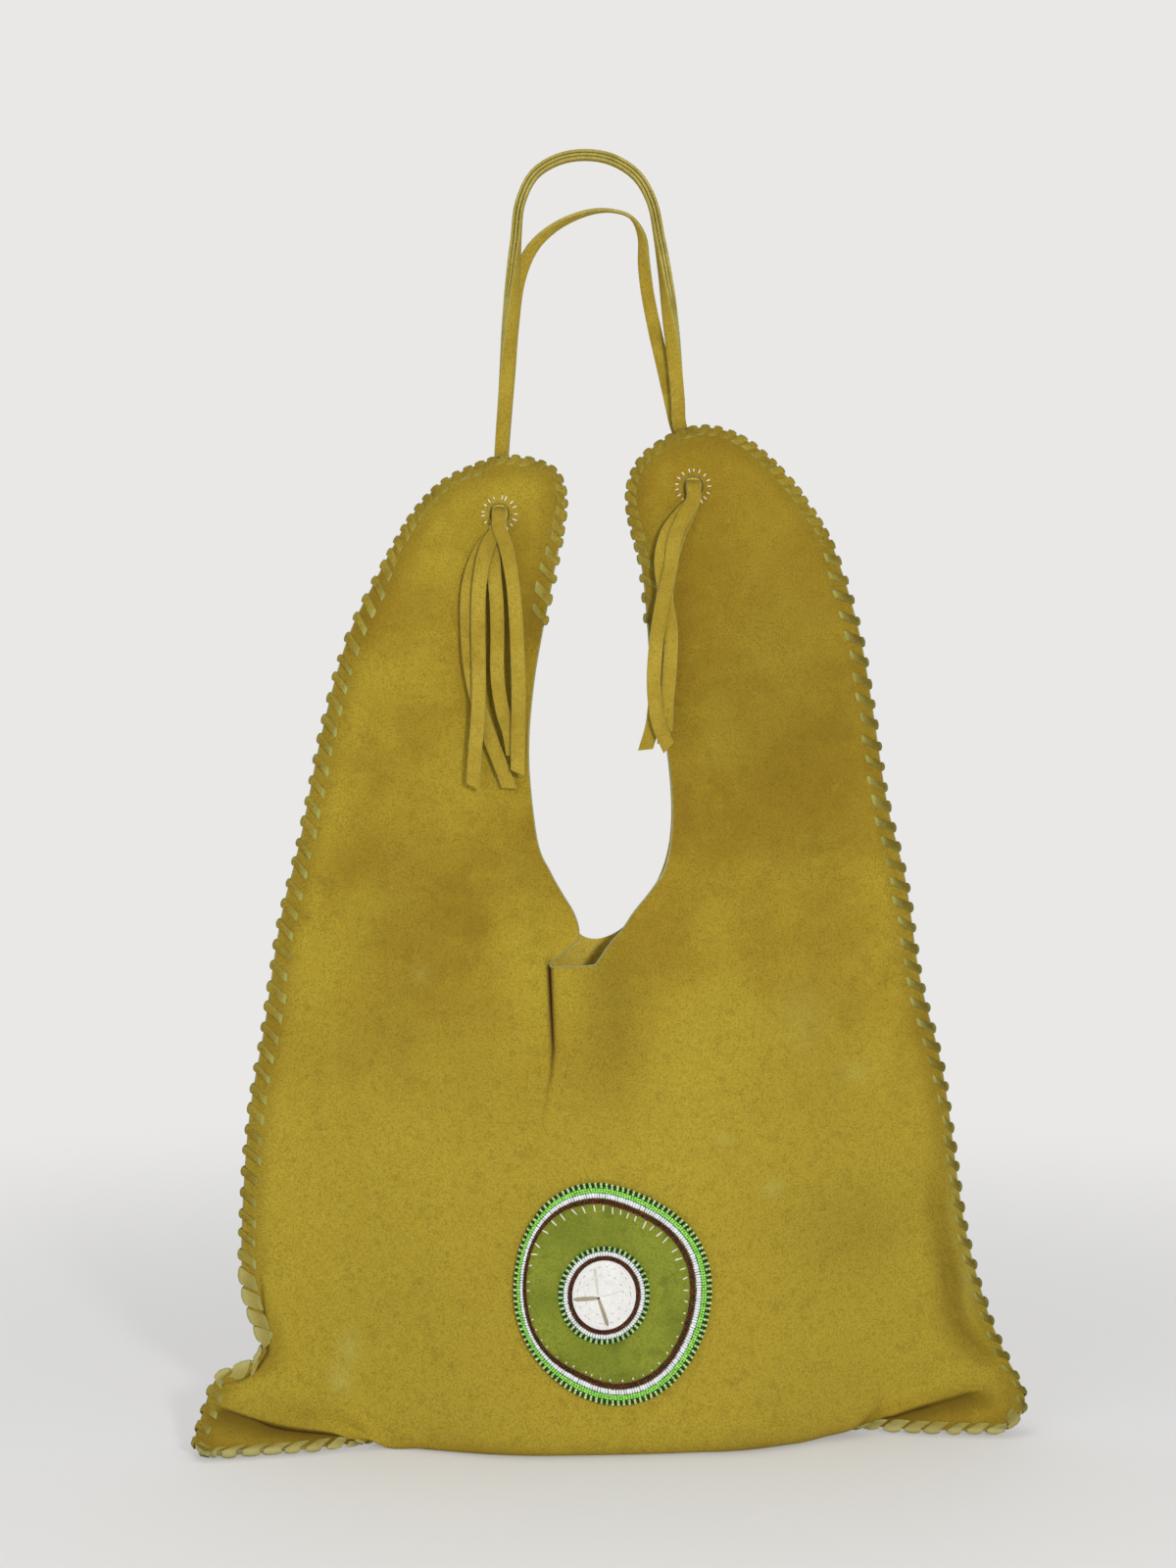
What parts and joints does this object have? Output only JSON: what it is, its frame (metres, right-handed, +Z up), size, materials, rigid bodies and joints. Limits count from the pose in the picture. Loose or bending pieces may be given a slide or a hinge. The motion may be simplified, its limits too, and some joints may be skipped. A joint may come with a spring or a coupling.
{
  "type": "fringe tote bag",
  "caption": "Soft suede shoulder bag with laced edges, a thong strap that ends in fringe tassels, and a beaded rosette on the front.",
  "frame": {"origin": "middle of the underside of the strap's arch, where the bag hangs", "axes": "+Z up along the hanging bag, +Y from the beaded front to the back, +X to the right seen from the front"},
  "size_m": [0.4657, 0.086, 0.7119],
  "materials": {
    "suede": "matt chartreuse suede with a short nap",
    "lacing": "narrow suede thong with pale cut edges",
    "thong": "flat suede strip with pale cut edges",
    "rosette_suede": "matt moss green suede",
    "edging_beads": "opaque black and light green seed beads",
    "green_beads": "opaque bright green seed beads",
    "white_beads": "opaque white seed beads",
    "red_beads": "dark red-brown seed beads",
    "white_hide": "white hide with a stitched cross"
  },
  "bodies": {
    "root": {"front_panel": "suede", "back_panel": "suede", "left_horn_lacing": "lacing", "left_side_lacing": "lacing", "bottom_lacing": "lacing", "right_side_lacing": "lacing", "right_horn_lacing": "lacing", "strap_thong_1": "thong", "strap_thong_2": "thong", "strap_thong_3": "thong", "strap_thong_4": "thong", "rosette_backing": "rosette_suede", "rosette_outer_edging": "edging_beads", "rosette_green_ring": "green_beads", "rosette_white_ring": "white_beads", "rosette_red_ring": "red_beads", "rosette_inner_edging": "edging_beads", "rosette_inner_white_ring": "white_beads", "rosette_inner_red_ring": "red_beads", "rosette_centre_disc": "white_hide"}
  },
  "joints": []
}
